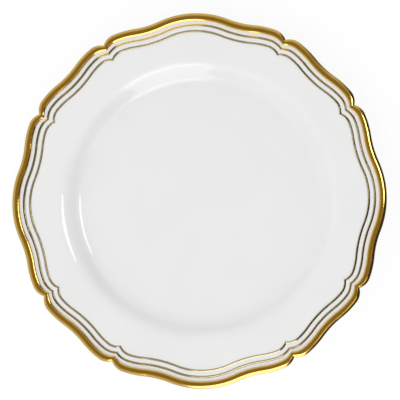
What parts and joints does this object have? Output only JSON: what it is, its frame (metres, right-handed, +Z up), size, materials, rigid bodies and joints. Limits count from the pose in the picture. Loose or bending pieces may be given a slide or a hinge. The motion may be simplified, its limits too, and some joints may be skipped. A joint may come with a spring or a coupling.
{
  "type": "dinner plate",
  "caption": "Round porcelain dinner plate with a scalloped rim, rolled gold edge, raised gold lines, a shallow well and a foot ring.",
  "frame": {"origin": "centre of the plane that the foot ring stands on, below the middle of the plate", "axes": "+Z up through the middle of the well; +X towards the crest of a plainly rounded lobe, and so are +Y, -X and -Y"},
  "size_m": [0.267, 0.267, 0.0226],
  "materials": {
    "clay": "matte",
    "glaze": "gloss",
    "gold": "polished",
    "stamp": "gloss"
  },
  "bodies": {
    "root": {"porcelain_body": "clay", "glaze_coat": "glaze", "glaze_recess": "glaze", "gold_rim_band": "gold", "gold_line_middle": "gold", "gold_line_inner": "gold", "backstamp": "stamp"}
  },
  "joints": []
}
